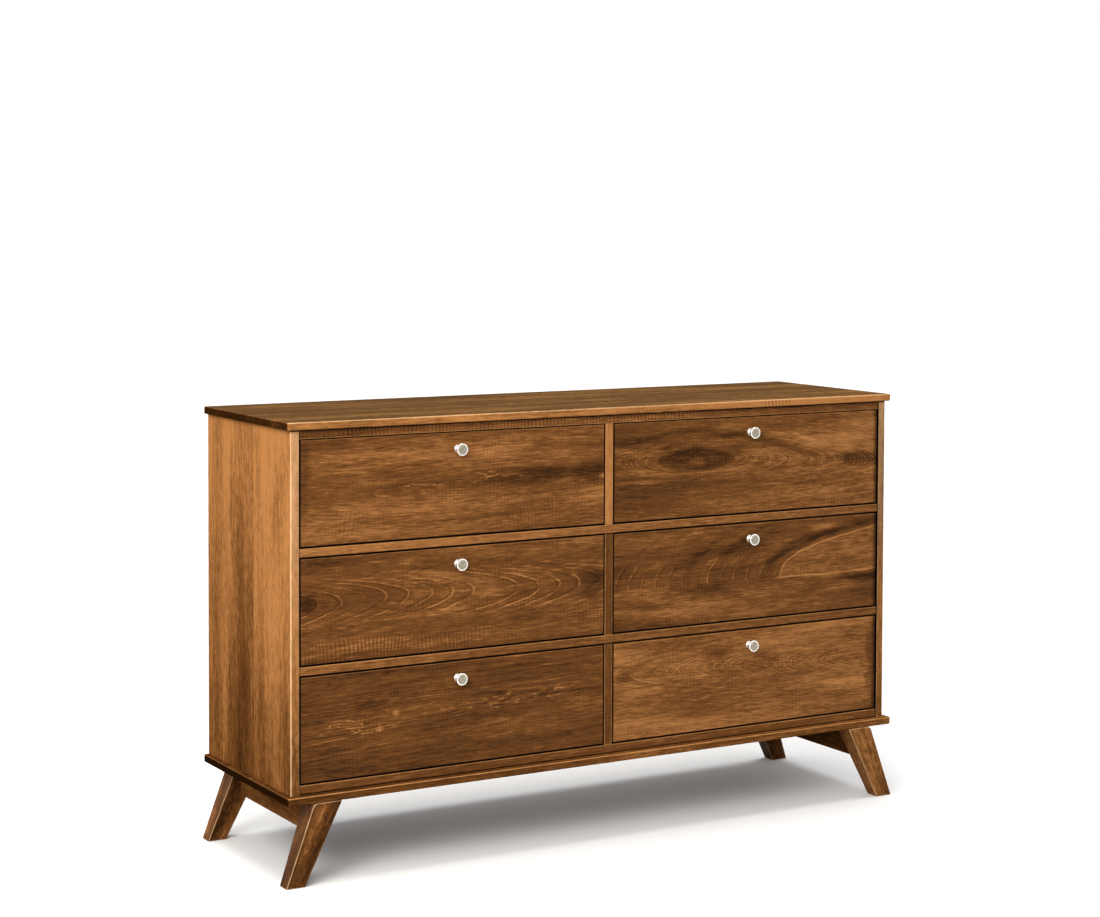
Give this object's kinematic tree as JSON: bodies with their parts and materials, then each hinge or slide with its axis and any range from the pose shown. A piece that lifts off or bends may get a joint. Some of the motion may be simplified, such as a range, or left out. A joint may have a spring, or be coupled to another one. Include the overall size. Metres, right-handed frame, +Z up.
{
  "type": "dresser",
  "caption": "Low free-standing wooden dresser with inset drawers in side-by-side columns, small round knobs, and splayed tapered legs under a base board.",
  "frame": {"origin": "on the floor, at the middle of the bounding box's bottom face, knobs included", "axes": "+X to the viewer's right along the width, +Y from the drawer fronts to the back, +Z up"},
  "size_m": [1.5326, 0.449, 0.936],
  "materials": {
    "stained_maple": "warm brown stain, satin lacquer",
    "drawer_maple": "darker brown stain on figured maple, satin lacquer",
    "clear_maple": "clear satin lacquer on drawer boxes",
    "birch_ply": "clear matt lacquer on plywood",
    "satin_nickel": "satin nickel plate"
  },
  "bodies": {
    "case": {"back_left_leg": "stained_maple", "back_panel": "birch_ply", "back_right_leg": "stained_maple", "base_board": "stained_maple", "bottom_dust_board": "birch_ply", "bottom_partition": "stained_maple", "bottom_rail": "stained_maple", "front_left_leg": "stained_maple", "front_right_leg": "stained_maple", "left_apron": "stained_maple", "left_side_panel": "stained_maple", "lower_rail": "stained_maple", "middle_dust_board": "birch_ply", "middle_partition": "stained_maple", "right_apron": "stained_maple", "right_side_panel": "stained_maple", "top_back_rail": "stained_maple", "top_board": "stained_maple", "top_dust_board": "birch_ply", "top_partition": "stained_maple", "top_rail": "stained_maple", "upper_rail": "stained_maple"},
    "bottom_left_drawer": {"bottom_left_drawer_back": "clear_maple", "bottom_left_drawer_bottom": "birch_ply", "bottom_left_drawer_front": "drawer_maple", "bottom_left_drawer_knob": "satin_nickel", "bottom_left_drawer_left_side": "clear_maple", "bottom_left_drawer_right_side": "clear_maple"},
    "bottom_right_drawer": {"bottom_right_drawer_back": "clear_maple", "bottom_right_drawer_bottom": "birch_ply", "bottom_right_drawer_front": "drawer_maple", "bottom_right_drawer_knob": "satin_nickel", "bottom_right_drawer_left_side": "clear_maple", "bottom_right_drawer_right_side": "clear_maple"},
    "middle_left_drawer": {"middle_left_drawer_back": "clear_maple", "middle_left_drawer_bottom": "birch_ply", "middle_left_drawer_front": "drawer_maple", "middle_left_drawer_knob": "satin_nickel", "middle_left_drawer_left_side": "clear_maple", "middle_left_drawer_right_side": "clear_maple"},
    "middle_right_drawer": {"middle_right_drawer_back": "clear_maple", "middle_right_drawer_bottom": "birch_ply", "middle_right_drawer_front": "drawer_maple", "middle_right_drawer_knob": "satin_nickel", "middle_right_drawer_left_side": "clear_maple", "middle_right_drawer_right_side": "clear_maple"},
    "top_left_drawer": {"top_left_drawer_back": "clear_maple", "top_left_drawer_bottom": "birch_ply", "top_left_drawer_front": "drawer_maple", "top_left_drawer_knob": "satin_nickel", "top_left_drawer_left_side": "clear_maple", "top_left_drawer_right_side": "clear_maple"},
    "top_right_drawer": {"top_right_drawer_back": "clear_maple", "top_right_drawer_bottom": "birch_ply", "top_right_drawer_front": "drawer_maple", "top_right_drawer_knob": "satin_nickel", "top_right_drawer_left_side": "clear_maple", "top_right_drawer_right_side": "clear_maple"}
  },
  "joints": [
    {"name": "bottom_left_drawer_slide", "type": "slide", "parent": "case", "child": "bottom_left_drawer", "axis": [0, -1, 0], "range_m": [0, 0.3]},
    {"name": "bottom_right_drawer_slide", "type": "slide", "parent": "case", "child": "bottom_right_drawer", "axis": [0, -1, 0], "range_m": [0, 0.3]},
    {"name": "middle_left_drawer_slide", "type": "slide", "parent": "case", "child": "middle_left_drawer", "axis": [0, -1, 0], "range_m": [0, 0.3]},
    {"name": "middle_right_drawer_slide", "type": "slide", "parent": "case", "child": "middle_right_drawer", "axis": [0, -1, 0], "range_m": [0, 0.3]},
    {"name": "top_left_drawer_slide", "type": "slide", "parent": "case", "child": "top_left_drawer", "axis": [0, -1, 0], "range_m": [0, 0.3]},
    {"name": "top_right_drawer_slide", "type": "slide", "parent": "case", "child": "top_right_drawer", "axis": [0, -1, 0], "range_m": [0, 0.3]}
  ]
}
